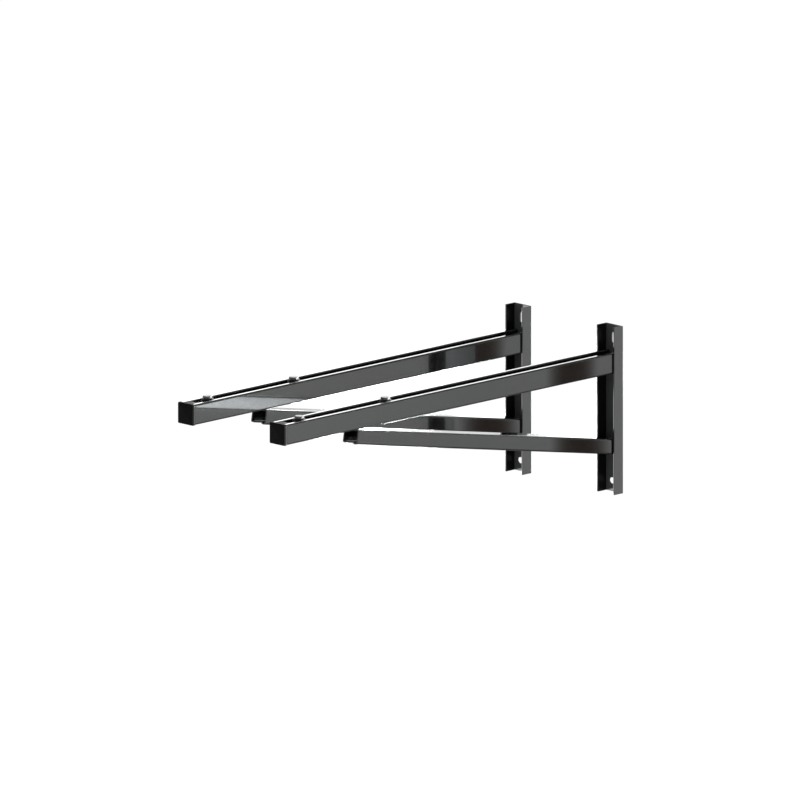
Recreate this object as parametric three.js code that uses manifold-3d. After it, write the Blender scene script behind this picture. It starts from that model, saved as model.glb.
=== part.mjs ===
// A pair of cantilever wall brackets for hanging bicycles and other long loads.
//
// Millimetres, +Z up. The wall is the plane Y = 0 and the arms reach out along -Y. X = 0 is halfway
// between the brackets, and Z = 0 is the lower end of the uprights.
//
// Each bracket is a U-channel upright, a slotted C-rail arm, a C-rail brace turned slot down, and a
// plastic end cap. Two sliders run in the arm's slot: a hexagon bolt, a washer and a slot nut each.

import * as THREE from "three";
import { mergeVertices } from "three/addons/utils/BufferGeometryUtils.js";
import Module from "manifold-3d";

const wasm = await Module();
wasm.setup();

// Clearances: GAP beside a cut or slanted face, SEAT under a piece that rests flat on another, and
// WEB_GAP where a rail stops short of the upright's web to clear its bends.
const GAP = 0.3;
const SEAT = 0.1;
const WEB_GAP = 1.3;

// Distance between the centres of the two brackets.
const SPACING = 201;

const UPRIGHT = {
  height: 265.5,
  width: 38.4,
  depth: 21,
  thickness: 2.5,
  insideBend: 0.4,
  wallSlot: { length: 20.5, width: 9.7 },
  topSlotHeight: 244.3,
  bottomSlotHeight: 16.8,
};

const ARM = {
  size: 32.8,
  thickness: 2,
  insideBend: 0.6,
  slot: 17,
  lipDepth: 5.5,
  underside: 192.5,
  reach: 736,
};
ARM.top = ARM.underside + ARM.size;

const BRACE = {
  width: 31.6,
  height: 24,
  thickness: 2,
  insideBend: 0.6,
  slot: 14,
  lipDepth: 5,
  reach: 577.5,
  topAtWall: 84.6,
};
BRACE.topAtKnee = ARM.underside - GAP;
BRACE.slope = Math.atan2(BRACE.topAtKnee - BRACE.topAtWall, BRACE.reach);
BRACE.length = BRACE.reach / Math.cos(BRACE.slope);

const CAP = {
  size: 33.6,
  thickness: 5,
  cornerRadius: 2,
  plugDepth: 14,
  plugWall: 1.8,
  clearance: 0.4,
};

const WELD = { leg: 3, length: 24, bulge: 0.8 };

// M8 bolt with a low hexagon head, its thin washer and its slot nut.
const BOLT = { acrossFlats: 13, headHeight: 3.9, shankRadius: 3.9, length: 20, turn: 45 };
const WASHER = { outerRadius: 9.5, holeRadius: 4.2, thickness: 1 };
const SLOT_NUT = { across: 27, along: 11.5, height: 6, grooveDepth: 1.2, boreRadius: 4.15 };

// Distance of each slider from the outer end of the arm.
const SLIDERS = { outer: 43.5, inner: 232.5 };

// Segments in a quarter of a circle.
const BEND_SEGMENTS = 3;
const ROUND_SEGMENTS = 6;

const STEEL = { color: 0x1b1c1c, roughness: 0.16, metalness: 0.55 };
const PLASTIC = { color: 0x08080a, roughness: 0.42, metalness: 0 };
const FASTENER = { color: 0x2a2b2c, roughness: 0.28, metalness: 0.85 };

// --- Solids ---------------------------------------------------------------------------------------

function toSolid(geometry) {
  const bare = geometry.clone();
  bare.deleteAttribute("normal");
  bare.deleteAttribute("uv");
  const merged = mergeVertices(bare, 1e-4);
  const vertProperties = merged.attributes.position.array;
  const triVerts = new Uint32Array(merged.index.array);
  return new wasm.Manifold(new wasm.Mesh({ numProp: 3, vertProperties, triVerts }));
}

function toGeometry(solid) {
  const mesh = solid.getMesh();
  const geometry = new THREE.BufferGeometry();
  geometry.setAttribute("position", new THREE.BufferAttribute(mesh.vertProperties, 3));
  geometry.setIndex(new THREE.BufferAttribute(mesh.triVerts, 1));
  const flat = geometry.toNonIndexed();
  flat.computeVertexNormals();
  return flat;
}

function extrude(shape, depth, curveSegments = BEND_SEGMENTS) {
  return new THREE.ExtrudeGeometry(shape, { depth, curveSegments, bevelEnabled: false });
}

// An X-Z section pushed out along -Y.
function extrudeOutwards(shape, depth, curveSegments) {
  return extrude(shape, depth, curveSegments).rotateX(Math.PI / 2);
}

// A Y-Z section pushed along X, centred on X = 0.
function extrudeAcross(shape, width) {
  const turn = new THREE.Matrix4().set(0, 0, 1, 0, 1, 0, 0, 0, 0, 1, 0, 0, 0, 0, 0, 1);
  return extrude(shape, width).applyMatrix4(turn).translate(-width / 2, 0, 0);
}

// A closed outline whose corners are [x, y] or, for a rounded corner, [x, y, radius].
function outline(corners) {
  const shape = new THREE.Shape();
  corners.forEach(([x, y, radius = 0], i) => {
    const corner = new THREE.Vector2(x, y);
    const before = new THREE.Vector2(...corners.at(i - 1)).sub(corner).normalize();
    const after = new THREE.Vector2(...corners[(i + 1) % corners.length]).sub(corner).normalize();
    const setback = radius / Math.tan(Math.acos(before.dot(after)) / 2);
    const start = corner.clone().addScaledVector(before, setback);
    const end = corner.clone().addScaledVector(after, setback);
    if (i === 0) shape.moveTo(start.x, start.y);
    else shape.lineTo(start.x, start.y);
    if (radius === 0) return;
    const clockwise = before.cross(after) > 0;
    const side = clockwise ? 1 : -1;
    const centre = start.clone().add(new THREE.Vector2(-before.y, before.x).multiplyScalar(side * radius));
    const from = start.clone().sub(centre).angle();
    const to = end.clone().sub(centre).angle();
    shape.absarc(centre.x, centre.y, radius, from, to, clockwise);
  });
  shape.closePath();
  return shape;
}

// A C-rail's section: its closed wall below, its slot and in-turned lips above, the base at y = 0.
function railSection({ width, height, thickness, insideBend, slot, lipDepth }) {
  const outside = insideBend + thickness;
  const half = width / 2;
  const edge = slot / 2;
  const right = [
    [half, 0, outside],
    [half, height, outside],
    [edge, height, thickness],
    [edge, height - lipDepth],
    [edge + thickness, height - lipDepth],
    [edge + thickness, height - thickness],
    [half - thickness, height - thickness, insideBend],
    [half - thickness, thickness, insideBend],
  ];
  const left = right.map(([x, ...rest]) => [-x, ...rest]).reverse();
  return outline([...right, ...left]);
}

function roundedSquare(size, radius) {
  const half = size / 2;
  return outline([
    [half, -half, radius],
    [half, half, radius],
    [-half, half, radius],
    [-half, -half, radius],
  ]);
}

// --- Pieces of one bracket ------------------------------------------------------------------------

// A level slot's cutter, right through the web.
function wallSlotCutter() {
  const { length, width } = UPRIGHT.wallSlot;
  const radius = width / 2;
  const reach = length / 2 - radius;
  const slot = new THREE.Shape();
  slot.absarc(reach, 0, radius, -Math.PI / 2, Math.PI / 2);
  slot.absarc(-reach, 0, radius, Math.PI / 2, 1.5 * Math.PI);
  slot.closePath();
  return extrudeOutwards(slot, 3 * UPRIGHT.thickness, ROUND_SEGMENTS).translate(0, UPRIGHT.thickness, 0);
}

// The upper wall slot stands upright and the lower one lies level.
function uprightGeometry() {
  const { height, width, depth, thickness, insideBend, topSlotHeight, bottomSlotHeight } = UPRIGHT;
  const outside = insideBend + thickness;
  const half = width / 2;
  const channel = outline([
    [half, 0, outside],
    [-half, 0, outside],
    [-half, -depth],
    [-half + thickness, -depth],
    [-half + thickness, -thickness, insideBend],
    [half - thickness, -thickness, insideBend],
    [half - thickness, -depth],
    [half, -depth],
  ]);

  const topCutter = wallSlotCutter().rotateY(Math.PI / 2).translate(0, 0, topSlotHeight);
  const bottomCutter = wallSlotCutter().translate(0, 0, bottomSlotHeight);
  const solid = toSolid(extrude(channel, height));
  return toGeometry(solid.subtract(toSolid(topCutter)).subtract(toSolid(bottomCutter)));
}

function armGeometry() {
  const section = railSection({ ...ARM, width: ARM.size, height: ARM.size });
  const start = UPRIGHT.thickness + WEB_GAP;
  return extrudeOutwards(section, ARM.reach - start).translate(0, -start, ARM.underside);
}

// The brace's top face runs from topAtWall up to the arm's underside. Its outer end is cut square to
// the rail, and its inner end is trimmed upright against the web.
function braceGeometry() {
  const rail = extrudeOutwards(railSection(BRACE), BRACE.length + BRACE.height);
  rail.rotateY(Math.PI).translate(0, BRACE.height, 0);
  rail.rotateX(-BRACE.slope).translate(0, 0, BRACE.topAtWall);
  const keep = new THREE.BoxGeometry(2 * BRACE.width, 2 * BRACE.reach, 4 * ARM.size + BRACE.topAtKnee);
  keep.translate(0, -BRACE.reach - UPRIGHT.thickness - WEB_GAP, BRACE.topAtKnee / 2);
  return toGeometry(toSolid(rail).intersect(toSolid(keep)));
}

function endCapGeometry() {
  const { size, thickness, cornerRadius, plugDepth, plugWall, clearance } = CAP;
  const centreHeight = ARM.underside + ARM.size / 2;
  const overlap = thickness / 2;

  const plate = extrudeOutwards(roundedSquare(size, cornerRadius), thickness);
  plate.translate(0, -ARM.reach - SEAT, centreHeight);

  // The plug fills the rail below the lips, with a tongue between them, and is open at the back.
  const half = ARM.size / 2 - ARM.thickness - clearance;
  const floor = ARM.underside + ARM.thickness + clearance;
  const shoulder = ARM.top - ARM.lipDepth - clearance;
  const tongue = ARM.slot / 2 - clearance;
  const plug = outline([
    [half, floor, ARM.insideBend],
    [half, shoulder],
    [tongue, shoulder],
    [tongue, ARM.top - clearance],
    [-tongue, ARM.top - clearance],
    [-tongue, shoulder],
    [-half, shoulder],
    [-half, floor, ARM.insideBend],
  ]);
  const hollow = outline([
    [half - plugWall, floor + plugWall],
    [-half + plugWall, floor + plugWall],
    [-half + plugWall, shoulder - plugWall],
    [half - plugWall, shoulder - plugWall],
  ]);
  plug.holes.push(hollow);
  const boss = extrudeOutwards(plug, plugDepth + overlap);
  boss.translate(0, -ARM.reach + plugDepth, 0);
  return toGeometry(toSolid(plate).add(toSolid(boss)));
}

// A fillet bead in the corner (y, z), along two faces given by their directions in the Y-Z plane.
function beadGeometry(y, z, alongFirst, alongSecond) {
  const corner = new THREE.Vector2(y, z).addScaledVector(alongFirst, GAP).addScaledVector(alongSecond, GAP);
  const first = corner.clone().addScaledVector(alongFirst, WELD.leg);
  const second = corner.clone().addScaledVector(alongSecond, WELD.leg);
  const crown = first.clone().add(second).sub(corner).sub(corner).normalize().multiplyScalar(WELD.bulge);
  const middle = first.clone().add(second).multiplyScalar(0.5).addScaledVector(crown, 2);
  const shape = new THREE.Shape();
  shape.moveTo(corner.x, corner.y);
  shape.lineTo(first.x, first.y);
  shape.quadraticCurveTo(middle.x, middle.y, second.x, second.y);
  shape.closePath();
  return extrudeAcross(shape, WELD.length);
}

function armWeldGeometry() {
  const outwards = new THREE.Vector2(-1, 0);
  const down = new THREE.Vector2(0, -1);
  return beadGeometry(-UPRIGHT.thickness, ARM.underside, outwards, down);
}

function braceWeldGeometry() {
  const up = new THREE.Vector2(0, 1);
  const alongBrace = new THREE.Vector2(-Math.cos(BRACE.slope), Math.sin(BRACE.slope));
  const height = BRACE.topAtWall + UPRIGHT.thickness * Math.tan(BRACE.slope);
  return beadGeometry(-UPRIGHT.thickness, height, alongBrace, up);
}

function kneeWeldGeometry() {
  const outwards = new THREE.Vector2(-1, 0);
  const downEnd = new THREE.Vector2(-Math.sin(BRACE.slope), -Math.cos(BRACE.slope));
  return beadGeometry(-BRACE.reach, ARM.underside, outwards, downEnd);
}

// --- Slider pieces, with the arm's top face at Z = 0 ------------------------------------------------

function boltGeometry() {
  const { acrossFlats, headHeight, shankRadius, length, turn } = BOLT;
  const corner = acrossFlats / 2 / Math.cos(Math.PI / 6);
  const hexagon = new THREE.Shape();
  for (let i = 0; i < 6; i += 1) {
    const angle = THREE.MathUtils.degToRad(60 * i + turn);
    const x = corner * Math.cos(angle);
    const y = corner * Math.sin(angle);
    if (i === 0) hexagon.moveTo(x, y);
    else hexagon.lineTo(x, y);
  }
  hexagon.closePath();
  const seat = WASHER.thickness + 2 * SEAT;
  const head = extrude(hexagon, headHeight).translate(0, 0, seat);
  const circle = new THREE.Shape().absarc(0, 0, shankRadius, 0, 2 * Math.PI);
  const shank = extrude(circle, length + headHeight / 2, 2 * ROUND_SEGMENTS);
  shank.translate(0, 0, seat - length);
  return toGeometry(toSolid(head).add(toSolid(shank)));
}

function washerGeometry() {
  const ring = new THREE.Shape().absarc(0, 0, WASHER.outerRadius, 0, 2 * Math.PI);
  ring.holes.push(new THREE.Path().absarc(0, 0, WASHER.holeRadius, 0, 2 * Math.PI));
  return extrude(ring, WASHER.thickness, 2 * ROUND_SEGMENTS).translate(0, 0, SEAT);
}

// A bar across the inside of the rail, with a groove over the edge of each lip.
function slotNutGeometry() {
  const { across, along, height, grooveDepth, boreRadius } = SLOT_NUT;
  const half = across / 2;
  const grooveInner = ARM.slot / 2 - GAP;
  const grooveOuter = ARM.slot / 2 + ARM.thickness + GAP;
  const grooveFloor = -ARM.lipDepth - SEAT;
  const top = grooveFloor + grooveDepth;
  const bottom = top - height;
  const right = [
    [half, bottom, 1],
    [half, top],
    [grooveOuter, top],
    [grooveOuter, grooveFloor],
    [grooveInner, grooveFloor],
    [grooveInner, top],
  ];
  const left = right.map(([x, ...rest]) => [-x, ...rest]).reverse();
  const bar = extrudeOutwards(outline([...right, ...left]), along).translate(0, along / 2, 0);
  const circle = new THREE.Shape().absarc(0, 0, boreRadius, 0, 2 * Math.PI);
  const bore = extrude(circle, 2 * height, 2 * ROUND_SEGMENTS).translate(0, 0, bottom - height / 2);
  return toGeometry(toSolid(bar).subtract(toSolid(bore)));
}

// --- Assembly -------------------------------------------------------------------------------------

function piece(name, geometry, finish) {
  const mesh = new THREE.Mesh(geometry, new THREE.MeshStandardMaterial(finish));
  mesh.name = name;
  return mesh;
}

function slider(prefix, distanceFromEnd) {
  const group = new THREE.Group();
  group.add(
    piece(`${prefix}_bolt`, boltGeometry(), FASTENER),
    piece(`${prefix}_washer`, washerGeometry(), FASTENER),
    piece(`${prefix}_slot_nut`, slotNutGeometry(), FASTENER),
  );
  group.position.set(0, distanceFromEnd - ARM.reach, ARM.top);
  return group;
}

function bracket(side) {
  const group = new THREE.Group();
  group.add(
    piece(`${side}_upright`, uprightGeometry(), STEEL),
    piece(`${side}_arm_rail`, armGeometry(), STEEL),
    piece(`${side}_brace_rail`, braceGeometry(), STEEL),
    piece(`${side}_arm_weld`, armWeldGeometry(), STEEL),
    piece(`${side}_brace_weld`, braceWeldGeometry(), STEEL),
    piece(`${side}_knee_weld`, kneeWeldGeometry(), STEEL),
    piece(`${side}_arm_end_cap`, endCapGeometry(), PLASTIC),
    slider(`${side}_outer`, SLIDERS.outer),
    slider(`${side}_inner`, SLIDERS.inner),
  );
  return group;
}

const rack = new THREE.Group();
const left = bracket("left");
left.position.x = -SPACING / 2;
const right = bracket("right");
right.position.x = SPACING / 2;
rack.add(left, right);

export default rack;
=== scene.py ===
"""Looks of the bicycle wall rack: two braced brackets in gloss black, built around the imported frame.

Metres, in the frame's own axes: the wall is Y = 0, the arms reach out along -Y, and Z is up.
"""

import math
import random

import bmesh
import bpy
from mathutils import Matrix, Vector, noise


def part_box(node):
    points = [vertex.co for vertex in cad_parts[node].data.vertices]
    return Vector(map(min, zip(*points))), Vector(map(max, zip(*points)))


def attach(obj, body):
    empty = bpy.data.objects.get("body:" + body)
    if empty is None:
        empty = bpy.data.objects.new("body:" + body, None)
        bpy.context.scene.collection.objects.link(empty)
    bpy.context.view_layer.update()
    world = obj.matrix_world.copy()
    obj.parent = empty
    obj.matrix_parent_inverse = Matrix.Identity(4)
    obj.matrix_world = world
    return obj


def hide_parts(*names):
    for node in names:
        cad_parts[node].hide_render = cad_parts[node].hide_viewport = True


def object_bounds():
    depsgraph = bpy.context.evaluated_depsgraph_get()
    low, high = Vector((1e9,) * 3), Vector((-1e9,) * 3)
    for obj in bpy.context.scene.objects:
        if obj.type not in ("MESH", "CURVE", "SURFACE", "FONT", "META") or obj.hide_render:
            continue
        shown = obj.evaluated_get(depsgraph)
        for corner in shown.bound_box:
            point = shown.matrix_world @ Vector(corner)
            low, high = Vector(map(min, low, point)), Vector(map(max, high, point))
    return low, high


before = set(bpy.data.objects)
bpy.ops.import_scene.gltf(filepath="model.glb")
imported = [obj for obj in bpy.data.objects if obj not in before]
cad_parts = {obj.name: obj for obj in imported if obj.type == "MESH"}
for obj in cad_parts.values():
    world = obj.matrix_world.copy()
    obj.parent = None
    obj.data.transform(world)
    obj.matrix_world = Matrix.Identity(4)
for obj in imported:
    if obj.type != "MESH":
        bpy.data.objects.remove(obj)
cad_low, cad_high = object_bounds()

MM = 0.001
SIDES = ("left", "right")
PLACES = ("outer", "inner")

# Sheet steel.
UPRIGHT_THICKNESS = 2.5 * MM
UPRIGHT_INSIDE_BEND = 0.4 * MM
RAIL_THICKNESS = 2.0 * MM
RAIL_INSIDE_BEND = 0.6 * MM
ARM_SLOT = 17.0 * MM
ARM_LIP_DEPTH = 5.5 * MM
BRACE_SLOT = 14.0 * MM
BRACE_LIP_DEPTH = 5.0 * MM
SHEARED_EDGE = 0.45 * MM
CUT_EDGE = 0.3 * MM
LIP_INSIDE_BEND = 0.3 * MM

# Clearances: GAP beside a face, SEAT where a piece rests flat on another.
GAP = 0.3 * MM
SEAT = 0.1 * MM

# How far a cutter, or a piece that is to be joined, goes past the face it meets.
BEYOND = 1.0 * MM

# Slots through the upright's web, and the heights of their middles above its lower end.
TOP_SLOT_HEIGHT = 244.3 * MM
BOTTOM_SLOT_HEIGHT = 16.8 * MM
WALL_SLOT_LENGTH = 20.5 * MM
WALL_SLOT_WIDTH = 9.7 * MM
HOLE_CHAMFER = 0.35 * MM

# Segments in a quarter turn of a bend, and rings in the rounding of a cut edge.
BEND_STEPS = 8
EDGE_STEPS = 3
# Distance from a bend to the extra points that keep the flat beside it flat when it is shaded.
SUPPORT = 0.4 * MM
# Least cosine by which a sharp corner's move inwards is divided.
MITRE_LIMIT = 0.3


# --- Outlines -------------------------------------------------------------------------------------


def rounded_outline(corners, steps=BEND_STEPS):
    """Points round a closed outline whose corners are (x, y) or (x, y, radius)."""
    points = []
    count = len(corners)
    for i, corner in enumerate(corners):
        here = Vector(corner[:2])
        radius = corner[2] if len(corner) > 2 else 0.0
        if radius == 0.0:
            points.append(here)
            continue
        before = (Vector(corners[i - 1][:2]) - here).normalized()
        after = (Vector(corners[(i + 1) % count][:2]) - here).normalized()
        half_angle = before.angle(after) / 2
        setback = radius / math.tan(half_angle)
        centre = here + (before + after).normalized() * radius / math.sin(half_angle)
        start = here + before * setback - centre
        turn = (here + after * setback - centre).angle_signed(start)
        points.append(here + before * (setback + SUPPORT))
        for step in range(steps + 1):
            angle = turn * step / steps
            spoke = Matrix.Rotation(angle, 2) @ start
            points.append(centre + spoke)
        points.append(here + after * (setback + SUPPORT))
    return points


def signed_area(points):
    pairs = zip(points, points[1:] + points[:1])
    return sum(a.x * b.y - b.x * a.y for a, b in pairs) / 2


def shrunk(points, distance):
    """The outline moved inwards by a distance, each point along the bisector of its two sides."""
    if distance == 0.0:
        return points
    inward = 1.0 if signed_area(points) > 0 else -1.0
    moved = []
    for i, point in enumerate(points):
        first = (point - points[i - 1]).normalized()
        second = (points[(i + 1) % len(points)] - point).normalized()
        normal_a = Vector((-first.y, first.x)) * inward
        normal_b = Vector((-second.y, second.x)) * inward
        bisector = (normal_a + normal_b).normalized()
        moved.append(point + bisector * distance / max(bisector.dot(normal_a), MITRE_LIMIT))
    return moved


def mirrored(right_half):
    """A closed outline from its right half, which runs from the bottom up."""
    left_half = [(-corner[0], *corner[1:]) for corner in reversed(right_half)]
    return right_half + left_half


def c_rail_outline(width, height, slot, lip_depth):
    """A lipped C-rail: closed wall at y = 0, slot and in-turned lips at y = height."""
    outside = RAIL_INSIDE_BEND + RAIL_THICKNESS
    half = width / 2
    edge = slot / 2
    inner = half - RAIL_THICKNESS
    right_half = [
        (half, 0, outside),
        (half, height, outside),
        (edge, height, RAIL_THICKNESS),
        (edge, height - lip_depth, SHEARED_EDGE),
        (edge + RAIL_THICKNESS, height - lip_depth, SHEARED_EDGE),
        (edge + RAIL_THICKNESS, height - RAIL_THICKNESS, LIP_INSIDE_BEND),
        (inner, height - RAIL_THICKNESS, RAIL_INSIDE_BEND),
        (inner, RAIL_THICKNESS, RAIL_INSIDE_BEND),
    ]
    return rounded_outline(mirrored(right_half))


def u_channel_outline(width, depth):
    """The upright: web along y = 0, flanges down to y = -depth."""
    outside = UPRIGHT_INSIDE_BEND + UPRIGHT_THICKNESS
    half = width / 2
    inner = half - UPRIGHT_THICKNESS
    right_half = [
        (inner, -UPRIGHT_THICKNESS, UPRIGHT_INSIDE_BEND),
        (inner, -depth, SHEARED_EDGE),
        (half, -depth, SHEARED_EDGE),
        (half, 0, outside),
    ]
    return rounded_outline(mirrored(right_half))


# --- Meshes ---------------------------------------------------------------------------------------


def edge_rings(radius):
    """(distance from the end, inset) of the rings that round a cut edge, from the end inwards."""
    rings = []
    for step in range(EDGE_STEPS + 1):
        angle = math.pi / 2 * step / EDGE_STEPS
        rings.append((radius * (1 - math.cos(angle)), radius * (1 - math.sin(angle))))
    return rings


def skin(name, rings, closed_ends=True):
    """A closed mesh through rings of points, each ring with the same number of points."""
    mesh = bpy.data.meshes.new(name)
    grid = bmesh.new()
    loops = [[grid.verts.new(point) for point in ring] for ring in rings]
    count = len(loops[0])
    for first, second in zip(loops, loops[1:]):
        for i in range(count):
            j = (i + 1) % count
            grid.faces.new((first[i], first[j], second[j], second[i]))
    if closed_ends:
        grid.faces.new(loops[0][::-1])
        grid.faces.new(loops[-1])
    bmesh.ops.recalc_face_normals(grid, faces=grid.faces)
    grid.to_mesh(mesh)
    grid.free()
    piece = bpy.data.objects.new(name, mesh)
    bpy.context.scene.collection.objects.link(piece)
    return piece


def extruded(name, outline, place, start, end, edge=CUT_EDGE):
    """A bar of one section with rounded cut edges. place(point, distance) gives the 3-D point."""
    rings = []
    direction = 1.0 if end > start else -1.0
    stations = edge_rings(edge) + [(edge + SUPPORT, 0.0)]
    for depth, inset in stations:
        ring = shrunk(outline, inset)
        rings.append([place(point, start + direction * depth) for point in ring])
    for depth, inset in reversed(stations):
        ring = shrunk(outline, inset)
        rings.append([place(point, end - direction * depth) for point in ring])
    return skin(name, rings)


def smooth(piece, sharp_degrees=32.0):
    piece.data.shade_smooth()
    piece.data.set_sharp_from_angle(angle=math.radians(sharp_degrees))
    return piece


def combine(piece, other, operation):
    """Adds the other solid to the piece (UNION) or takes it out of it (DIFFERENCE), for good."""
    modifier = piece.modifiers.new("combine", "BOOLEAN")
    modifier.operation = operation
    modifier.solver = "EXACT"
    modifier.object = other
    bpy.context.view_layer.update()
    evaluated = piece.evaluated_get(bpy.context.evaluated_depsgraph_get())
    result = bpy.data.meshes.new_from_object(evaluated)
    piece.modifiers.clear()
    piece.data = result
    bpy.data.objects.remove(other)


def stand_for(piece, node, body, material):
    """The piece takes a CAD node's place: its body and its finish."""
    piece.data.materials.clear()
    piece.data.materials.append(material)
    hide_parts(node)
    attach(piece, body)
    return piece


# --- Materials ------------------------------------------------------------------------------------


class Nodes:
    """A material's node tree, with short calls for the nodes that these finishes use."""

    def __init__(self, name):
        self.material = bpy.data.materials.new(name)
        self.material.use_nodes = True
        self.tree = self.material.node_tree
        self.shader = self.tree.nodes["Principled BSDF"]
        self.position = self.tree.nodes.new("ShaderNodeTexCoord").outputs["Object"]

    def link(self, output, target):
        self.tree.links.new(output, target)

    def noise(self, scale, detail=3.0, roughness=0.5, stretch=(1.0, 1.0, 1.0)):
        mapping = self.tree.nodes.new("ShaderNodeMapping")
        mapping.inputs["Scale"].default_value = stretch
        self.link(self.position, mapping.inputs["Vector"])
        texture = self.tree.nodes.new("ShaderNodeTexNoise")
        texture.inputs["Scale"].default_value = scale
        texture.inputs["Detail"].default_value = detail
        texture.inputs["Roughness"].default_value = roughness
        self.link(mapping.outputs["Vector"], texture.inputs["Vector"])
        return texture.outputs["Fac"]

    def remap(self, value, low, high, from_low=0.3, from_high=0.7):
        node = self.tree.nodes.new("ShaderNodeMapRange")
        node.inputs["From Min"].default_value = from_low
        node.inputs["From Max"].default_value = from_high
        node.inputs["To Min"].default_value = low
        node.inputs["To Max"].default_value = high
        self.link(value, node.inputs["Value"])
        return node.outputs["Result"]

    def separate(self, vector):
        node = self.tree.nodes.new("ShaderNodeSeparateXYZ")
        self.link(vector, node.inputs["Vector"])
        return node.outputs

    def times(self, first, second):
        node = self.tree.nodes.new("ShaderNodeMath")
        node.operation = "MULTIPLY"
        self.link(first, node.inputs[0])
        self.link(second, node.inputs[1])
        return node.outputs["Value"]

    def from_nearest_middle(self, value, spacing):
        """How far a value is from the nearer of two middles, half a spacing either side of zero."""
        wrap = self.tree.nodes.new("ShaderNodeMath")
        wrap.operation = "WRAP"
        self.link(value, wrap.inputs[0])
        wrap.inputs[1].default_value = spacing
        wrap.inputs[2].default_value = 0.0
        less = self.tree.nodes.new("ShaderNodeMath")
        less.operation = "SUBTRACT"
        self.link(wrap.outputs["Value"], less.inputs[0])
        less.inputs[1].default_value = spacing / 2
        return less.outputs["Value"]

    def mix_colour(self, factor, first, second):
        """Mixes two colours, the first of which may be another node's output."""
        node = self.tree.nodes.new("ShaderNodeMix")
        node.data_type = "RGBA"
        self.link(factor, node.inputs["Factor"])
        if isinstance(first, tuple):
            node.inputs["A"].default_value = (*first, 1.0)
        else:
            self.link(first, node.inputs["A"])
        node.inputs["B"].default_value = (*second, 1.0)
        return node.outputs["Result"]

    def bump(self, height, distance, strength=1.0, under=None):
        node = self.tree.nodes.new("ShaderNodeBump")
        node.inputs["Distance"].default_value = distance
        node.inputs["Strength"].default_value = strength
        self.link(height, node.inputs["Height"])
        if under is not None:
            self.link(under, node.inputs["Normal"])
        return node.outputs["Normal"]

    def set(self, **values):
        for name, value in values.items():
            self.shader.inputs[name.replace("_", " ")].default_value = value


def add_paint(nodes):
    """Gloss black powder coat: a dark base under a clear, faintly rippled top. Returns the ripples."""
    nodes.set(Metallic=0.0, IOR=1.5, Coat_Weight=1.0, Coat_Roughness=0.03, Coat_IOR=1.5)
    mottle = nodes.noise(35.0, detail=4.0)
    blend = nodes.remap(mottle, 0.0, 1.0)
    colour = nodes.mix_colour(blend, (0.0022, 0.0024, 0.0024), (0.0042, 0.0044, 0.0042))
    nodes.link(colour, nodes.shader.inputs["Base Color"])
    nodes.link(nodes.remap(nodes.noise(120.0), 0.10, 0.18), nodes.shader.inputs["Roughness"])
    return nodes.bump(nodes.noise(420.0, detail=2.0), 0.0000025)


# How much of the paint's gloss reaches the inner faces of an upright's flanges.
INNER_COAT = 0.04
# Painted light: the web between them gets a greyer base colour, in place of the soft light that its front
# face catches.
WEB_PAINTED_LIGHT = (0.042, 0.044, 0.044)


def upright_finish(spacing):
    """The paint on the uprights, thin and dull on their sawn tops and on the flanges' inner faces, with
    painted light on the web's front.
    """
    nodes = Nodes("black_paint")
    ripples = add_paint(nodes)
    nodes.link(ripples, nodes.shader.inputs["Normal"])
    nodes.link(ripples, nodes.shader.inputs["Coat Normal"])
    facing = nodes.separate(nodes.tree.nodes.new("ShaderNodeTexCoord").outputs["Normal"])
    place = nodes.separate(nodes.position)
    # A flange's inner face is where the surface faces back towards its own upright's middle.
    outwards = nodes.times(facing["X"], nodes.from_nearest_middle(place["X"], spacing))
    reached = nodes.remap(outwards, INNER_COAT, 1.0, -12.0 * MM, -4.0 * MM)
    # The sawn top is what faces up.
    whole = nodes.remap(facing["Z"], 1.0, 0.0, 0.2, 0.6)
    nodes.link(nodes.times(reached, whole), nodes.shader.inputs["Coat Weight"])
    dull = nodes.remap(facing["Z"], 0.62, 0.02, 0.2, 0.6)
    nodes.link(nodes.times(reached, dull), nodes.shader.inputs["Specular IOR Level"])
    # Painted light on the web's front, which faces away from the wall and, unlike the flanges' edges, lies
    # close to it: a lighter base colour there.
    front = nodes.remap(facing["Y"], 0.0, 1.0, -0.5, -0.9)
    inside = nodes.remap(place["Y"], 0.0, 1.0, -7.0 * MM, -5.0 * MM)
    base = nodes.shader.inputs["Base Color"]
    paint = base.links[0].from_socket
    nodes.link(nodes.mix_colour(nodes.times(front, inside), paint, WEB_PAINTED_LIGHT), base)
    return nodes.material


# How far a rail's sides lean out of flat: most, in the middle of the stretch that the weld's heat draws
# in by the wall, and at the outer end, towards which the lean grows from END_LEAN_FROM on.
WELD_LEAN = math.radians(4.7)
ARM_WELD_STRETCH = (-172.0 * MM, -50.0 * MM)
BRACE_WELD_STRETCH = (-162.0 * MM, -20.0 * MM)
ARM_END_LEAN = math.radians(4.0)
BRACE_END_LEAN = math.radians(1.0)
END_LEAN_FROM = -330.0 * MM
END_LEAN_TO = -735.0 * MM


def rail_finish(name, stretch, end_lean):
    """The paint on a rolled rail, whose sides are drawn in by the weld's heat and spring at the end."""
    nodes = Nodes(name)
    ripples = add_paint(nodes)
    nodes.set(Specular_IOR_Level=0.4)
    along = nodes.separate(nodes.position)["Y"]
    rise = nodes.remap(along, 0.0, 1.0, *stretch)
    rise.node.interpolation_type = "SMOOTHSTEP"
    drawn = nodes.bump(rise, WELD_LEAN * (stretch[1] - stretch[0]) / 1.5, under=ripples)
    out = nodes.remap(along, 0.0, 1.0, END_LEAN_FROM, END_LEAN_TO)
    sprung = nodes.bump(nodes.times(out, out), end_lean * (END_LEAN_FROM - END_LEAN_TO) / 2, under=drawn)
    nodes.link(sprung, nodes.shader.inputs["Normal"])
    nodes.link(sprung, nodes.shader.inputs["Coat Normal"])
    return nodes.material


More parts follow.
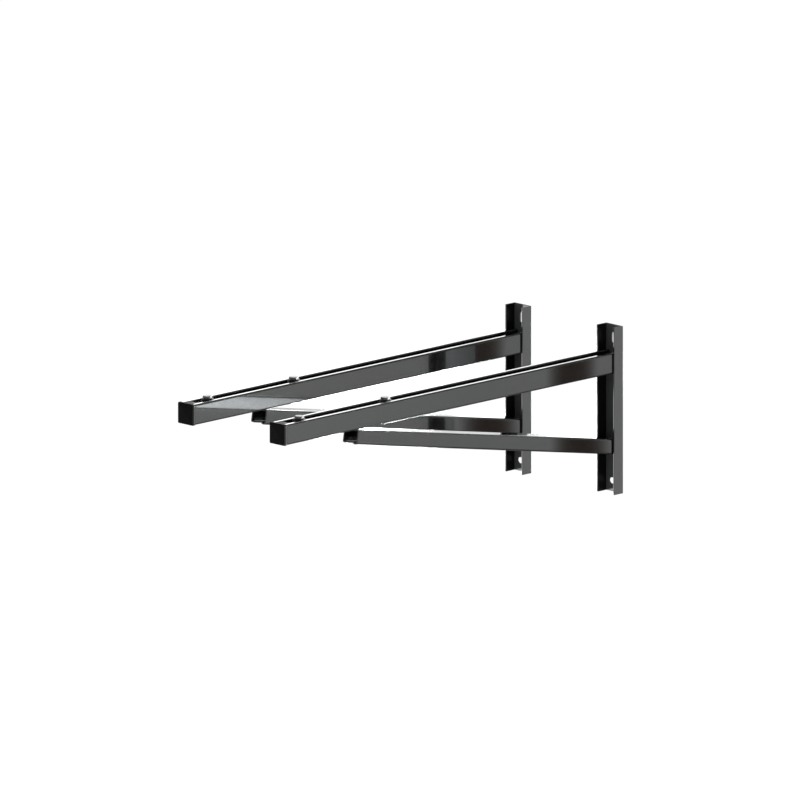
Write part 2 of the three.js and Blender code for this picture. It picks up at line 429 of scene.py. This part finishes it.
def weld_finish():
    """The same coat over a weld bead, a little duller in its ripples."""
    nodes = Nodes("painted_weld")
    nodes.set(Metallic=0.0, Coat_Weight=0.9, Coat_Roughness=0.08, Coat_IOR=1.5)
    grain = nodes.noise(900.0, detail=4.0)
    colour = nodes.mix_colour(nodes.remap(grain, 0.0, 1.0), (0.010, 0.010, 0.010), (0.022, 0.021, 0.020))
    nodes.link(colour, nodes.shader.inputs["Base Color"])
    nodes.link(nodes.remap(grain, 0.16, 0.32), nodes.shader.inputs["Roughness"])
    nodes.link(nodes.bump(grain, 0.00003), nodes.shader.inputs["Normal"])
    return nodes.material


def plastic_finish():
    """Satin black moulded plastic with a fine spark-eroded grain, polished on its two sides."""
    nodes = Nodes("cap_plastic")
    nodes.set(Metallic=0.0, IOR=1.46, Specular_IOR_Level=0.05, Coat_Roughness=0.06, Coat_IOR=1.9)
    sideways = nodes.separate(nodes.tree.nodes.new("ShaderNodeTexCoord").outputs["Normal"])["X"]
    nodes.link(nodes.remap(nodes.times(sideways, sideways), 0.0, 1.0), nodes.shader.inputs["Coat Weight"])
    flow = nodes.noise(60.0, detail=3.0, stretch=(1.0, 1.0, 0.4))
    blend = nodes.remap(flow, 0.0, 1.0)
    colour = nodes.mix_colour(blend, (0.0006, 0.0006, 0.0007), (0.0016, 0.0016, 0.0017))
    nodes.link(colour, nodes.shader.inputs["Base Color"])
    nodes.link(nodes.remap(nodes.noise(250.0), 0.36, 0.48), nodes.shader.inputs["Roughness"])
    nodes.link(nodes.bump(nodes.noise(3200.0, detail=2.0), 0.000008), nodes.shader.inputs["Normal"])
    return nodes.material


def fastener_finish():
    """Black zinc plate: dark metal with faint blotches and fine turning marks."""
    nodes = Nodes("fastener")
    nodes.set(Metallic=1.0)
    blotch = nodes.noise(450.0, detail=5.0)
    colour = nodes.mix_colour(nodes.remap(blotch, 0.0, 1.0), (0.085, 0.085, 0.087), (0.115, 0.115, 0.115))
    nodes.link(colour, nodes.shader.inputs["Base Color"])
    nodes.link(nodes.remap(nodes.noise(1500.0), 0.18, 0.34), nodes.shader.inputs["Roughness"])
    rings = nodes.tree.nodes.new("ShaderNodeTexWave")
    rings.wave_type = "RINGS"
    rings.rings_direction = "Z"
    rings.inputs["Scale"].default_value = 700.0
    rings.inputs["Distortion"].default_value = 1.5
    nodes.link(nodes.position, rings.inputs["Vector"])
    nodes.link(nodes.bump(rings.outputs["Fac"], 0.000012), nodes.shader.inputs["Normal"])
    return nodes.material


def washer_finish():
    """Blackened washer steel, dull and a little patchy."""
    nodes = Nodes("washer")
    nodes.set(Metallic=1.0)
    patches = nodes.noise(700.0, detail=4.0)
    colour = nodes.mix_colour(nodes.remap(patches, 0.0, 1.0), (0.030, 0.030, 0.031), (0.055, 0.055, 0.055))
    nodes.link(colour, nodes.shader.inputs["Base Color"])
    nodes.link(nodes.remap(patches, 0.35, 0.5), nodes.shader.inputs["Roughness"])
    nodes.link(nodes.bump(nodes.noise(2500.0), 0.00001), nodes.shader.inputs["Normal"])
    return nodes.material


# --- Upright, arm and brace -----------------------------------------------------------------------


def upright_piece(side, material):
    node = f"{side}_upright"
    low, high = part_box(node)
    middle = (low.x + high.x) / 2
    outline = u_channel_outline(high.x - low.x, high.y - low.y)

    def place(point, height):
        return Vector((middle + point.x, point.y, height))

    piece = extruded(f"{node}_steel", outline, place, low.z, high.z)
    combine(piece, wall_slot_cutter(middle, TOP_SLOT_HEIGHT, Vector((0, 1))), "DIFFERENCE")
    combine(piece, wall_slot_cutter(middle, BOTTOM_SLOT_HEIGHT, Vector((1, 0))), "DIFFERENCE")
    smooth(piece)
    return stand_for(piece, node, "root", material)


def wall_slot_cutter(middle, height, along):
    """A slot-shaped plug through the web, lying along one direction, with a chamfer at both faces."""
    radius = WALL_SLOT_WIDTH / 2
    reach = (WALL_SLOT_LENGTH - WALL_SLOT_WIDTH) / 2
    across = Vector((-along.y, along.x))
    outline = []
    steps = 24
    for end in (1, -1):
        for step in range(steps + 1):
            angle = -math.pi / 2 + math.pi * step / steps
            spoke = (along * math.cos(angle) + across * math.sin(angle)) * radius
            outline.append((along * reach + spoke) * end)
    front = -UPRIGHT_THICKNESS
    stations = [
        (BEYOND, -HOLE_CHAMFER - BEYOND),
        (-HOLE_CHAMFER, 0.0),
        (front + HOLE_CHAMFER, 0.0),
        (front - BEYOND, -HOLE_CHAMFER - BEYOND),
    ]
    rings = []
    for y, inset in stations:
        ring = shrunk(outline, inset)
        rings.append([Vector((middle + p.x, y, height + p.y)) for p in ring])
    return skin("hole_cutter", rings)


def arm_piece(side, material):
    node = f"{side}_arm_rail"
    low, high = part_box(node)
    middle = (low.x + high.x) / 2
    outline = c_rail_outline(high.x - low.x, high.z - low.z, ARM_SLOT, ARM_LIP_DEPTH)

    def place(point, y):
        return Vector((middle + point.x, y, low.z + point.y))

    piece = extruded(f"{node}_steel", outline, place, high.y, low.y)
    smooth(piece)
    return stand_for(piece, node, "root", material)


def brace_piece(side, material):
    """The brace's slope, depth and length are read from its CAD node."""
    node = f"{side}_brace_rail"
    low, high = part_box(node)
    middle = (low.x + high.x) / 2
    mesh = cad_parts[node].data
    top_faces = [face for face in mesh.polygons if face.normal.z > 0.9]
    slope_face = max(top_faces, key=lambda face: face.area)
    upward = Vector((0, slope_face.normal.y, slope_face.normal.z)).normalized()
    outward = Vector((0, -upward.z, upward.y))
    top = max(vertex.co.dot(upward) for vertex in mesh.vertices)
    bottom = min(vertex.co.dot(upward) for vertex in mesh.vertices)
    outer_end = max(vertex.co.dot(outward) for vertex in mesh.vertices)
    outline = c_rail_outline(high.x - low.x, top - bottom, BRACE_SLOT, BRACE_LIP_DEPTH)

    def place(point, y):
        """Outer rings lie square across the rail, and inner ones upright against the web."""
        level = top - point.y
        if y < high.y - 5 * MM:
            along = outer_end - (y - low.y)
        else:
            along = (upward.y * level - y) / upward.z
        return Vector((middle + point.x, 0, 0)) + upward * level + outward * along

    piece = extruded(f"{node}_steel", outline, place, high.y, low.y)
    smooth(piece)
    return stand_for(piece, node, "root", material)


# --- End cap --------------------------------------------------------------------------------------

CAP_CORNER = 2.0 * MM
CAP_EDGE = 0.9 * MM
CAP_PLUG_WALL = 1.8 * MM
CAP_CLEARANCE = 0.4 * MM
CAP_PLUG_CORNER = 0.4 * MM
CAP_HOLLOW_CORNER = 0.8 * MM


def end_cap_piece(side, material):
    """A square plate with rounded edges, and a hollow plug behind it, open at the back."""
    node = f"{side}_arm_end_cap"
    low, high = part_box(node)
    arm_low, arm_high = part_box(f"{side}_arm_rail")
    middle = Vector(((low.x + high.x) / 2, 0, (low.z + high.z) / 2))
    half = (high.x - low.x) / 2
    plate_back = arm_low.y - SEAT
    face = rounded_outline(mirrored([(half, -half, CAP_CORNER), (half, half, CAP_CORNER)]))

    def place(point, y):
        return Vector((middle.x + point.x, y, middle.z + point.y))

    rings = []
    for depth, inset in edge_rings(CAP_EDGE):
        rings.append([place(point, low.y + depth) for point in shrunk(face, inset)])
    for depth, inset in reversed(edge_rings(CUT_EDGE)):
        rings.append([place(point, plate_back - depth) for point in shrunk(face, inset)])
    piece = skin(f"{node}_plastic", rings)

    floor = arm_low.z + RAIL_THICKNESS + CAP_CLEARANCE - middle.z
    shoulder = arm_high.z - ARM_LIP_DEPTH - CAP_CLEARANCE - middle.z
    wall = (arm_high.x - arm_low.x) / 2 - RAIL_THICKNESS - CAP_CLEARANCE
    tongue = ARM_SLOT / 2 - CAP_CLEARANCE
    tongue_top = arm_high.z - CAP_CLEARANCE - middle.z
    right_half = [
        (wall, floor, RAIL_INSIDE_BEND),
        (wall, shoulder, CAP_PLUG_CORNER),
        (tongue, shoulder, CAP_PLUG_CORNER),
        (tongue, tongue_top, CAP_PLUG_CORNER),
    ]
    plug = rounded_outline(mirrored(right_half), steps=3)
    plug_rings = [[place(point, plate_back - BEYOND) for point in plug]]
    for depth, inset in reversed(edge_rings(CUT_EDGE)):
        plug_rings.append([place(point, high.y - depth) for point in shrunk(plug, inset)])
    boss = skin("boss", plug_rings)
    inner = wall - CAP_PLUG_WALL
    right_half = [
        (inner, floor + CAP_PLUG_WALL, CAP_HOLLOW_CORNER),
        (inner, shoulder - CAP_PLUG_WALL, CAP_HOLLOW_CORNER),
    ]
    hollow = rounded_outline(mirrored(right_half), steps=3)
    hollow_rings = [[place(point, y) for point in hollow] for y in (plate_back, high.y + BEYOND)]
    combine(piece, boss, "UNION")
    combine(piece, skin("hollow", hollow_rings), "DIFFERENCE")
    smooth(piece)
    return stand_for(piece, node, "root", material)


# --- Weld beads -----------------------------------------------------------------------------------

BEAD_PITCH = 1.6 * MM
BEAD_STATIONS = 80
BEAD_ARC = 8
BEAD_LEG = 3.0 * MM
# Parts of the leg: its least, what a ripple adds, how far it wanders, and how far the bead swells out.
BEAD_LEAST = 0.86
BEAD_RIPPLE = 0.1
BEAD_WANDER = 0.1
BEAD_SWELL = 0.32
# The bead starts and stops at this size, and reaches its full size at this rate along its length.
BEAD_END_SIZE = 0.55
BEAD_GROWTH = 6
# Directions in the Y-Z plane along the brace's slope, and down the brace's square-cut end.
ALONG_BRACE = (-1, 0.186)
DOWN_BRACE_END = (-0.185, -0.983)


def weld_piece(side, name, corner, along_first, along_second, material):
    """A fillet bead with the overlapping ripples of a run made from left to right."""
    node = f"{side}_{name}"
    low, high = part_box(node)
    draws = random.Random(node)
    phase = draws.uniform(0, BEAD_PITCH)
    rings = []
    for station in range(BEAD_STATIONS + 1):
        share = station / BEAD_STATIONS
        x = low.x + (high.x - low.x) * share
        ripple = ((x + phase) % BEAD_PITCH) / BEAD_PITCH
        wander = noise.noise(Vector((x * 400, phase * 1000, 0))) * BEAD_WANDER
        size = BEAD_LEG * (BEAD_LEAST + BEAD_RIPPLE * math.sqrt(ripple) + wander)
        size *= min(1.0, BEAD_END_SIZE + BEAD_GROWTH * share, BEAD_END_SIZE + BEAD_GROWTH * (1 - share))
        ring = [Vector((x, *corner))]
        for step in range(BEAD_ARC + 1):
            turn = step / BEAD_ARC
            flat = (1 - turn) * Vector(along_first) + turn * Vector(along_second)
            swell = 1 + BEAD_SWELL * math.sin(math.pi * turn)
            offset = flat * size * swell
            ring.append(Vector((x, corner[0] + offset.x, corner[1] + offset.y)))
        rings.append(ring)
    piece = skin(f"{node}_bead", rings)
    smooth(piece, sharp_degrees=55.0)
    return stand_for(piece, node, "root", material)


def weld_pieces(side, material):
    """Three beads: under the arm and above the brace at the web, and at the knee."""
    _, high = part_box(f"{side}_arm_weld")
    weld_piece(side, "arm_weld", (high.y, high.z), (-1, 0), (0, -1), material)
    low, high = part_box(f"{side}_brace_weld")
    weld_piece(side, "brace_weld", (high.y, low.z + GAP), ALONG_BRACE, (0, 1), material)
    _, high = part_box(f"{side}_knee_weld")
    weld_piece(side, "knee_weld", (high.y, high.z), (-1, 0), DOWN_BRACE_END, material)


# --- Sliders --------------------------------------------------------------------------------------

HEAD_ACROSS_FLATS = 13.0 * MM
HEAD_HEIGHT = 3.9 * MM
HEAD_TURN = math.radians(45)
HEAD_CHAMFER_SLOPE = math.tan(math.radians(30))
HEAD_STEPS = 72
WASHER_FACE = 0.4 * MM
THREAD_START = 1.2 * MM
THREAD_LEAD_IN = 1.0 * MM
THREAD_RADIUS = 3.9 * MM
THREAD_DEPTH = 0.65 * MM
THREAD_PITCH = 1.25 * MM
WASHER_HOLE_RADIUS = 4.2 * MM
NUT_GROOVE_DEPTH = 1.2 * MM
NUT_BORE_RADIUS = 4.15 * MM
NUT_BORE_CHAMFER = 0.4 * MM
NUT_LOWER_CORNER = 1.0 * MM
NUT_UPPER_CORNER = 0.3 * MM
NUT_GROOVE_CORNER = 0.2 * MM


def hexagon_reach(angle):
    """Distance from the axis to the hexagon's side at an angle."""
    sector = (angle - HEAD_TURN) % (math.pi / 3)
    return HEAD_ACROSS_FLATS / 2 / math.cos(sector - math.pi / 6)


def bolt_piece(prefix, body, material):
    """A forged hexagon head, chamfered on top, on a rolled thread."""
    node = f"{prefix}_bolt"
    low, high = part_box(node)
    angles = [2 * math.pi * i / HEAD_STEPS for i in range(HEAD_STEPS)]
    head_bottom = high.z - HEAD_HEIGHT
    crown = HEAD_ACROSS_FLATS / 2 * 0.95

    def ring(radius_at, height_at):
        points = []
        for angle in angles:
            radius = radius_at(angle)
            points.append(Vector((radius * math.cos(angle), radius * math.sin(angle), height_at(angle))))
        return points

    def chamfer_height(angle):
        return high.z - 0.1 * MM - HEAD_CHAMFER_SLOPE * (hexagon_reach(angle) - crown)

    rings = [
        # The top, a little dished, and its rounded rim.
        ring(lambda a: crown * 0.35, lambda a: high.z - 0.12 * MM),
        ring(lambda a: crown * 0.8, lambda a: high.z - 0.03 * MM),
        ring(lambda a: crown - 0.15 * MM, lambda a: high.z),
        ring(lambda a: crown + 0.05 * MM, lambda a: high.z - 0.06 * MM),
        # The chamfer that cuts the corners down, and the six flats.
        ring(lambda a: hexagon_reach(a) - 0.1 * MM, chamfer_height),
        ring(hexagon_reach, lambda a: chamfer_height(a) - 0.18 * MM),
        ring(hexagon_reach, lambda a: head_bottom + WASHER_FACE + 0.2 * MM),
        ring(lambda a: hexagon_reach(a) - 0.2 * MM, lambda a: head_bottom + WASHER_FACE),
        # The round washer face under the head.
        ring(lambda a: crown, lambda a: head_bottom + WASHER_FACE),
        ring(lambda a: crown - 0.1 * MM, lambda a: head_bottom),
        ring(lambda a: THREAD_RADIUS + 0.1 * MM, lambda a: head_bottom),
    ]
    thread_top = head_bottom - THREAD_START
    rings += [ring(*station) for station in thread_stations(thread_top, low.z)]
    piece = skin(f"{node}_steel", rings)
    stand_on_axis(piece, low, high)
    smooth(piece)
    return stand_for(piece, node, body, material)


def thread_stations(top, bottom):
    """Ring after ring down a right-hand thread, which fades in at the top and has a lead-in below."""
    stations = [(lambda a: THREAD_RADIUS - 0.25 * MM, lambda a, z=top + 0.6 * MM: z)]
    per_pitch = 6
    count = int((top - bottom) / THREAD_PITCH * per_pitch)
    for i in range(count + 1):
        z = top + (bottom - top) * i / count

        def radius(angle, z=z):
            phase = (z / THREAD_PITCH - angle / (2 * math.pi)) % 1.0
            groove = 1 - abs(2 * phase - 1)
            fade = min(1.0, (top - z) / (2 * THREAD_PITCH))
            lead_in = max(0.0, 1 - (z - bottom) / THREAD_LEAD_IN)
            crest = THREAD_RADIUS - lead_in * 0.7 * MM
            return min(crest, THREAD_RADIUS - THREAD_DEPTH * groove * fade)

        stations.append((radius, lambda a, z=z: z))
    return stations


def stand_on_axis(piece, low, high):
    """Moves a piece that was made round the Z axis onto the upright axis of its node's box."""
    piece.location = ((low.x + high.x) / 2, (low.y + high.y) / 2, 0)


def washer_piece(prefix, body, material):
    """A punched washer: rolled-over edges on the punch side, a faint burr on the other."""
    node = f"{prefix}_washer"
    low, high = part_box(node)
    outer = (high.x - low.x) / 2
    round_over = 0.35 * MM
    burr = 0.08 * MM
    profile = [
        (WASHER_HOLE_RADIUS, low.z + burr),
        (WASHER_HOLE_RADIUS, high.z - round_over),
        (WASHER_HOLE_RADIUS + round_over * 0.3, high.z - round_over * 0.3),
        (WASHER_HOLE_RADIUS + round_over, high.z),
        (outer - round_over, high.z),
        (outer - round_over * 0.3, high.z - round_over * 0.3),
        (outer, high.z - round_over),
        (outer, low.z + burr),
        (outer - burr, low.z),
        (WASHER_HOLE_RADIUS + burr, low.z),
    ]
    steps = 64
    rings = []
    for step in range(steps):
        angle = 2 * math.pi * step / steps
        rings.append([Vector((r * math.cos(angle), r * math.sin(angle), z)) for r, z in profile])
    piece = skin(f"{node}_steel", rings + rings[:1], closed_ends=False)
    weld_seam(piece)
    stand_on_axis(piece, low, high)
    smooth(piece)
    return stand_for(piece, node, body, material)


def weld_seam(piece):
    """Joins the first and last ring of a turned piece."""
    grid = bmesh.new()
    grid.from_mesh(piece.data)
    bmesh.ops.remove_doubles(grid, verts=grid.verts, dist=1e-7)
    bmesh.ops.recalc_face_normals(grid, faces=grid.faces)
    grid.to_mesh(piece.data)
    grid.free()


def slot_nut_piece(prefix, body, material):
    """A bar with a groove over each lip of the rail and a plain bore, chamfered at both ends."""
    node = f"{prefix}_slot_nut"
    low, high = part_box(node)
    half = (high.x - low.x) / 2
    groove_inner = ARM_SLOT / 2 - GAP
    groove_outer = ARM_SLOT / 2 + RAIL_THICKNESS + GAP
    floor = high.z - NUT_GROOVE_DEPTH
    right_half = [
        (half, low.z, NUT_LOWER_CORNER),
        (half, high.z, NUT_UPPER_CORNER),
        (groove_outer, high.z, NUT_GROOVE_CORNER),
        (groove_outer, floor, NUT_GROOVE_CORNER),
        (groove_inner, floor, NUT_GROOVE_CORNER),
        (groove_inner, high.z, NUT_GROOVE_CORNER),
    ]
    outline = rounded_outline(mirrored(right_half), steps=3)
    reach = (high.y - low.y) / 2

    def place(point, y):
        return Vector((point.x, y, point.y))

    piece = extruded(f"{node}_steel", outline, place, reach, -reach)
    steps = 48
    bore = []
    mouth = NUT_BORE_RADIUS + NUT_BORE_CHAMFER + BEYOND
    for z, radius in (
        (high.z + BEYOND, mouth),
        (high.z - NUT_BORE_CHAMFER, NUT_BORE_RADIUS),
        (low.z + NUT_BORE_CHAMFER, NUT_BORE_RADIUS),
        (low.z - BEYOND, mouth),
    ):
        angles = [2 * math.pi * i / steps for i in range(steps)]
        bore.append([Vector((radius * math.cos(a), radius * math.sin(a), z)) for a in angles])
    combine(piece, skin("bore", bore), "DIFFERENCE")
    stand_on_axis(piece, low, high)
    smooth(piece)
    return stand_for(piece, node, body, material)


# --- Studio ---------------------------------------------------------------------------------------

FLOOR_DROP = 0.55
FLOOR_SIZE = 120.0
VIEW_AZIMUTH = math.radians(45.0)
VIEW_ELEVATION = math.radians(12.7)
VIEW_WIDTH = 1.2403
VIEW_DISTANCE = 4.0
VIEW_TARGET = Vector((0.0, -0.371, 0.1881))

# Small bright panels low behind the left bracket: (name, centre, aim, width, height, watts).
PANELS = (
    ("brace_panel", (-0.5, 0.10, -0.04), (0.0855, -0.43, 0.155), 0.28, 0.26, 11.5),
    ("upright_panel", (-0.5, 0.57, -0.02), (0.081, -0.01, 0.155), 0.26, 0.20, 1.3),
)

# The dome as the paint mirrors it: (height from 0 at the bottom to 1 at the top, brightness).
SKY_LEVELS = ((0.2, 0.2), (0.32, 0.35), (0.40, 1.16), (0.52, 1.16), (0.62, 0.35), (1.0, 0.35))
SKY_TINT = (0.97, 1.0, 0.985)
EVEN_SKY = 1.1


def studio_floor():
    mesh = bpy.data.meshes.new("floor")
    half = FLOOR_SIZE / 2
    corners = [(-half, -half, 0), (half, -half, 0), (half, half, 0), (-half, half, 0)]
    mesh.from_pydata(corners, [], [(0, 1, 2, 3)])
    floor = bpy.data.objects.new("floor", mesh)
    floor.location.z = cad_low.z - FLOOR_DROP
    bpy.context.scene.collection.objects.link(floor)
    nodes = Nodes("floor")
    nodes.set(Roughness=0.9, Specular_IOR_Level=0.0)
    tone = nodes.remap(nodes.noise(0.7, detail=1.0), 0.0, 1.0)
    colour = nodes.mix_colour(tone, (0.93, 0.93, 0.93), (0.95, 0.95, 0.95))
    nodes.link(colour, nodes.shader.inputs["Base Color"])
    mesh.materials.append(nodes.material)
    floor.visible_glossy = False


def heading(azimuth, elevation):
    """A direction from its angle round from +X towards +Y and its height above the horizon."""
    a, e = math.radians(azimuth), math.radians(elevation)
    return Vector((math.cos(a) * math.cos(e), math.sin(a) * math.cos(e), math.sin(e)))


# Soft light shapes: (azimuth, elevation, full within, fades out by, colour), in degrees.
SKY_SHAPES = (
    (-90.0, -12.0, 60.0, 85.0, (0.36, 0.38, 0.38)),
    (-135.0, -12.7, 8.0, 16.0, (2.4, 2.4, 2.4)),
    (-45.0, -12.7, 12.0, 26.0, (0.95, 0.95, 0.95)),
    (14.0, -12.7, 21.0, 30.0, (0.17, 0.12, 0.105)),
    (118.0, -28.0, 24.0, 36.0, (0.2, 0.2, 0.2)),
    (-22.0, 0.0, 6.0, 18.0, (3.0, 3.0, 3.0)),
    (75.0, 13.0, 8.0, 15.0, (38.0, 38.0, 38.0)),
    (135.0, 14.0, 9.0, 18.0, (2.6, 2.6, 2.6)),
)


def studio_sky():
    """An even white dome. What mirrors in the paint is the same dome with soft light and dark shapes."""
    world = bpy.data.worlds.new("studio")
    bpy.context.scene.world = world
    world.use_nodes = True
    tree = world.node_tree

    def link(output, target):
        tree.links.new(output, target)

    direction = tree.nodes.new("ShaderNodeTexCoord").outputs["Generated"]
    split = tree.nodes.new("ShaderNodeSeparateXYZ")
    link(direction, split.inputs["Vector"])
    height = tree.nodes.new("ShaderNodeMapRange")
    height.inputs["From Min"].default_value = -1.0
    link(split.outputs["Z"], height.inputs["Value"])
    ramp = tree.nodes.new("ShaderNodeValToRGB")
    ramp.color_ramp.interpolation = "EASE"
    while len(ramp.color_ramp.elements) < len(SKY_LEVELS):
        ramp.color_ramp.elements.new(0.5)
    for element, (place, level) in zip(ramp.color_ramp.elements, SKY_LEVELS):
        element.position = place
        element.color = (*(channel * level for channel in SKY_TINT), 1.0)
    link(height.outputs["Result"], ramp.inputs["Fac"])
    colour = ramp.outputs["Color"]
    for azimuth, elevation, full, gone, shade in SKY_SHAPES:
        dot = tree.nodes.new("ShaderNodeVectorMath")
        dot.operation = "DOT_PRODUCT"
        dot.inputs[1].default_value = heading(azimuth, elevation)
        link(direction, dot.inputs[0])
        edge = tree.nodes.new("ShaderNodeMapRange")
        edge.interpolation_type = "SMOOTHSTEP"
        edge.inputs["From Min"].default_value = math.cos(math.radians(gone))
        edge.inputs["From Max"].default_value = math.cos(math.radians(full))
        link(dot.outputs["Value"], edge.inputs["Value"])
        mix = tree.nodes.new("ShaderNodeMix")
        mix.data_type = "RGBA"
        link(edge.outputs["Result"], mix.inputs["Factor"])
        link(colour, mix.inputs["A"])
        mix.inputs["B"].default_value = (*shade, 1.0)
        colour = mix.outputs["Result"]
    shapes = tree.nodes["Background"]
    link(colour, shapes.inputs["Color"])
    even = tree.nodes.new("ShaderNodeBackground")
    even.inputs["Color"].default_value = (1.0, 1.0, 1.0, 1.0)
    even.inputs["Strength"].default_value = EVEN_SKY
    path = tree.nodes.new("ShaderNodeLightPath")
    choose = tree.nodes.new("ShaderNodeMixShader")
    link(path.outputs["Is Glossy Ray"], choose.inputs["Fac"])
    link(even.outputs["Background"], choose.inputs[1])
    link(shapes.outputs["Background"], choose.inputs[2])
    link(choose.outputs["Shader"], tree.nodes["World Output"].inputs["Surface"])
    world.cycles.sampling_method = "NONE"


def studio_panel(name, centre, aim, width, height, energy):
    """A bright rectangle that the camera can't see but the steel's hidden sides mirror."""
    data = bpy.data.lights.new(name, "AREA")
    data.shape = "RECTANGLE"
    data.size = width
    data.size_y = height
    data.energy = energy
    data.color = (0.93, 0.98, 1.0)
    panel = bpy.data.objects.new(name, data)
    bpy.context.scene.collection.objects.link(panel)
    panel.location = centre
    panel.rotation_euler = (Vector(aim) - panel.location).to_track_quat("-Z", "Z").to_euler()
    panel.visible_camera = False


def studio_camera():
    data = bpy.data.cameras.new("camera")
    data.type = "ORTHO"
    data.ortho_scale = VIEW_WIDTH
    camera = bpy.data.objects.new("camera", data)
    bpy.context.scene.collection.objects.link(camera)
    back = Vector(
        (
            math.sin(VIEW_AZIMUTH) * math.cos(VIEW_ELEVATION),
            -math.cos(VIEW_AZIMUTH) * math.cos(VIEW_ELEVATION),
            math.sin(VIEW_ELEVATION),
        )
    )
    camera.location = VIEW_TARGET + back * VIEW_DISTANCE
    camera.rotation_euler = (-back).to_track_quat("-Z", "Y").to_euler()
    bpy.context.scene.camera = camera


# --- Assembly -------------------------------------------------------------------------------------

studio_camera()
studio_floor()
studio_sky()
for panel in PANELS:
    studio_panel(*panel)
bpy.context.scene.view_settings.view_transform = "Standard"

# The brackets stand half the spacing either side of X = 0.
right_low, right_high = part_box("right_upright")
paint = upright_finish(right_low.x + right_high.x)
arm_paint = rail_finish("arm_paint", ARM_WELD_STRETCH, ARM_END_LEAN)
brace_paint = rail_finish("brace_paint", BRACE_WELD_STRETCH, BRACE_END_LEAN)
welds = weld_finish()
plastic = plastic_finish()
fastener = fastener_finish()
dull_steel = washer_finish()

for side in SIDES:
    upright_piece(side, paint)
    arm_piece(side, arm_paint)
    brace_piece(side, brace_paint)
    weld_pieces(side, welds)
    end_cap_piece(side, plastic)
    for place_name in PLACES:
        prefix = f"{side}_{place_name}"
        body = f"{prefix}_slider"
        bolt_piece(prefix, body, fastener)
        washer_piece(prefix, body, dull_steel)
        slot_nut_piece(prefix, body, fastener)
